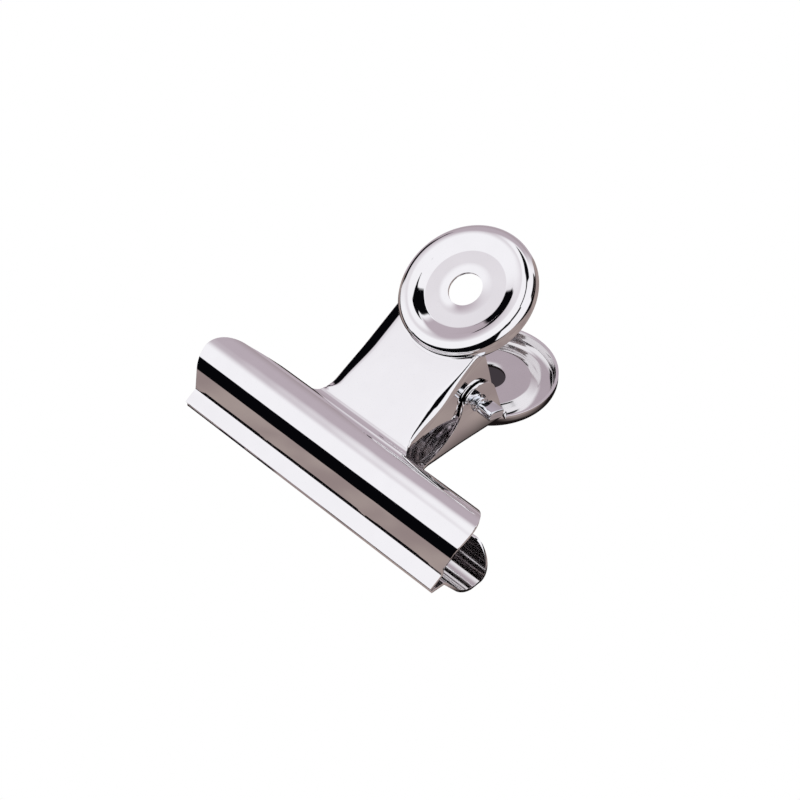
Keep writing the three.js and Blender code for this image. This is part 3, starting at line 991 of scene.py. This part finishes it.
# %% The room and its cards, in degrees: round from, to, up from, to, softness
TENT = linear(247, 246, 250)
LILAC = linear(184, 172, 181)
LILAC_LOW = linear(165, 152, 158)
BLACK = linear(6, 6, 9)
WHITE = (1.0, 1.0, 1.0)
WRAP = 110
CARDS = (
    (145, 198, 50, 69, 3),
    (84, 105, -30, 24, 3),
    (99, 109, 19, 27, 2),
    (197, 222, -12, 8, 4),
    (198, 250, 63, 69, 2),
    (-110, -78, 53, 65, 2),
    (-80, -60, 47, 63, 2),
)
WALL_LEFT_EDGE = (66, 110)
WALL_RIGHT_EDGE = (195, 165)
WALL_TOP_EDGE = (91, 80)
WALL_TOP_FALL = 0.286
WALL_DARKENS = (25, -15)
FRONT_CARD = (-62, 43, 3, 4)
FRONT_TOP_EDGE = (14, 12.5)
FRONT_CORNER = 32
FRONT_CORNER_RISE = 0.55


def room_angles(tree):
    """Degrees round the level clip and up from it."""
    direction = tree.nodes.new("ShaderNodeTexCoord").outputs["Generated"]
    level = node(tree, "ShaderNodeVectorRotate", rotation_type="X_AXIS", Angle=-LEAN)
    tree.links.new(direction, level.inputs["Vector"])
    split = tree.nodes.new("ShaderNodeSeparateXYZ")
    tree.links.new(level.outputs["Vector"], split.inputs["Vector"])
    x, y, z = split.outputs
    left, ahead = [math_node(tree, "MULTIPLY", value, -1) for value in (x, y)]
    turn = math_node(tree, "ARCTAN2", left, ahead)
    turn = math_node(tree, "ADD", math_node(tree, "DEGREES", turn), 360 + WRAP)
    around = math_node(tree, "SUBTRACT", math_node(tree, "MODULO", turn, 360), WRAP)
    return around, math_node(tree, "DEGREES", math_node(tree, "ARCSINE", z))


def wall_mask(tree, around, up):
    """The wall behind on the left, whose top falls away from the front to the back."""
    sides = math_node(tree, "MULTIPLY", smooth_mask(tree, around, *WALL_LEFT_EDGE),
                      smooth_mask(tree, around, *WALL_RIGHT_EDGE))
    fallen = math_node(tree, "ADD", up, math_node(tree, "MULTIPLY", around, WALL_TOP_FALL))
    return math_node(tree, "MULTIPLY", sides, smooth_mask(tree, fallen, *WALL_TOP_EDGE))


def front_mask(tree, around, up):
    """The widest card, low in front, whose top rises from its left to its right."""
    past = math_node(tree, "MAXIMUM", math_node(tree, "SUBTRACT", FRONT_CORNER, around), 0)
    rise = math_node(tree, "MULTIPLY", past, FRONT_CORNER_RISE)
    over = math_node(tree, "SUBTRACT", up, rise)
    return math_node(tree, "MULTIPLY", window(tree, around, *FRONT_CARD),
                     smooth_mask(tree, over, *FRONT_TOP_EDGE))


def build_room():
    world = bpy.data.worlds.new("studio")
    world.use_nodes = True
    bpy.context.scene.world = world
    tree = world.node_tree
    around, up = room_angles(tree)
    wall = blend_colour(tree, smooth_mask(tree, up, *WALL_DARKENS), LILAC, LILAC_LOW)
    colour = blend_colour(tree, wall_mask(tree, around, up), TENT, wall)
    for *limits, soft in CARDS:
        colour = blend_colour(tree, patch(tree, around, up, limits, soft), colour, BLACK)
    colour = blend_colour(tree, front_mask(tree, around, up), colour, BLACK)
    seen = tree.nodes.new("ShaderNodeLightPath").outputs["Is Camera Ray"]
    colour = blend_colour(tree, seen, colour, WHITE)
    tree.links.new(colour, tree.nodes["Background"].inputs["Color"])


build_room()
print("the room has", len(CARDS) + 1, "black cards")

# %% The table, its mats and its painted shadows, as X and Y ranges in millimetres with their softness
TABLE = linear(148, 133, 132)
TABLE_LIGHT = linear(164, 150, 146)
TABLE_CLOUDS = (0.35, 0.65)
TABLE_END = (-46.6, -47.7)
TABLE_END_SLANT = 0.03
FLOOR_SIZE = 3
MATS_AND_SHADOWS = (
    (LILAC, -900, -20, 25, 900, 4),
    # partly painted shadow: this black patch left of the neck is a dark mat and also the clip's
    # shadow there
    (BLACK, -50, -17, -36, 14, 3),
    (BLACK, 45, 900, 65, 900, 8),
    # painted shadow: these two dark patches under the clip stand for its shadow on the table
    (linear(25, 20, 20), -12, 12, -14, 30, 5),
    (linear(25, 20, 20), -31, 31, -27, -14, 3),
)
HOLE_SHADE = linear(62, 56, 61)
HOLE_SHADE_AT = (-2.2, 20.2, 0)
HOLE_SHADE_EDGE = (7.5, 5.5)


def in_metres(*lengths):
    return [length * MM for length in lengths]


def table_colour(tree, place):
    """What the metal mirrors below it: a clouded table that ends in front, its mats, and the
    clip's shadow painted on it.
    """
    split = tree.nodes.new("ShaderNodeSeparateXYZ")
    tree.links.new(place, split.inputs["Vector"])
    x, y, _ = split.outputs
    cloudy = node(tree, "ShaderNodeTexNoise", Scale=70.0, Detail=2.0)
    tree.links.new(place, cloudy.inputs["Vector"])
    clouds = smooth_mask(tree, cloudy.outputs["Fac"], *TABLE_CLOUDS)
    colour = blend_colour(tree, clouds, TABLE, TABLE_LIGHT)
    slant = math_node(tree, "ADD", y, math_node(tree, "MULTIPLY", x, TABLE_END_SLANT))
    beyond = smooth_mask(tree, slant, *in_metres(*TABLE_END))
    colour = blend_colour(tree, beyond, colour, BLACK)
    for shade, *limits, soft in MATS_AND_SHADOWS:
        mat = patch(tree, x, y, in_metres(*limits), soft * MM)
        colour = blend_colour(tree, mat, colour, shade)
    return colour


def hole_shade(tree, place):
    """A round shade under the rear disc, which the eye meets through the disc's hole."""
    reach = node(tree, "ShaderNodeVectorMath", operation="DISTANCE")
    tree.links.new(place, reach.inputs[0])
    reach.inputs[1].default_value = in_metres(*HOLE_SHADE_AT)
    return smooth_mask(tree, reach.outputs["Value"], *in_metres(*HOLE_SHADE_EDGE))


def floor_material():
    """A floor that is white to the eye and a table to the metal."""
    material = bpy.data.materials.new("studio floor")
    material.use_nodes = True
    tree = material.node_tree
    tree.nodes.remove(tree.nodes["Principled BSDF"])
    place = tree.nodes.new("ShaderNodeTexCoord").outputs["Object"]
    mirrored = node(tree, "ShaderNodeEmission")
    pale = node(tree, "ShaderNodeEmission")
    mix = tree.nodes.new("ShaderNodeMixShader")
    link = tree.links.new
    link(table_colour(tree, place), mirrored.inputs["Color"])
    link(blend_colour(tree, hole_shade(tree, place), WHITE, HOLE_SHADE), pale.inputs["Color"])
    link(tree.nodes.new("ShaderNodeLightPath").outputs["Is Camera Ray"], mix.inputs[0])
    link(mirrored.outputs[0], mix.inputs[1])
    link(pale.outputs[0], mix.inputs[2])
    link(mix.outputs[0], tree.nodes["Material Output"].inputs["Surface"])
    return material


def build_floor():
    bm = bmesh.new()
    bmesh.ops.create_grid(bm, x_segments=1, y_segments=1, size=FLOOR_SIZE)
    mesh = bpy.data.meshes.new("studio_floor")
    bm.to_mesh(mesh)
    bm.free()
    mesh.materials.append(floor_material())
    floor = bpy.data.objects.new("studio_floor", mesh)
    bpy.context.scene.collection.objects.link(floor)


build_floor()
bpy.context.scene.view_settings.view_transform = "Standard"
print("the table has", len(MATS_AND_SHADOWS), "mats")
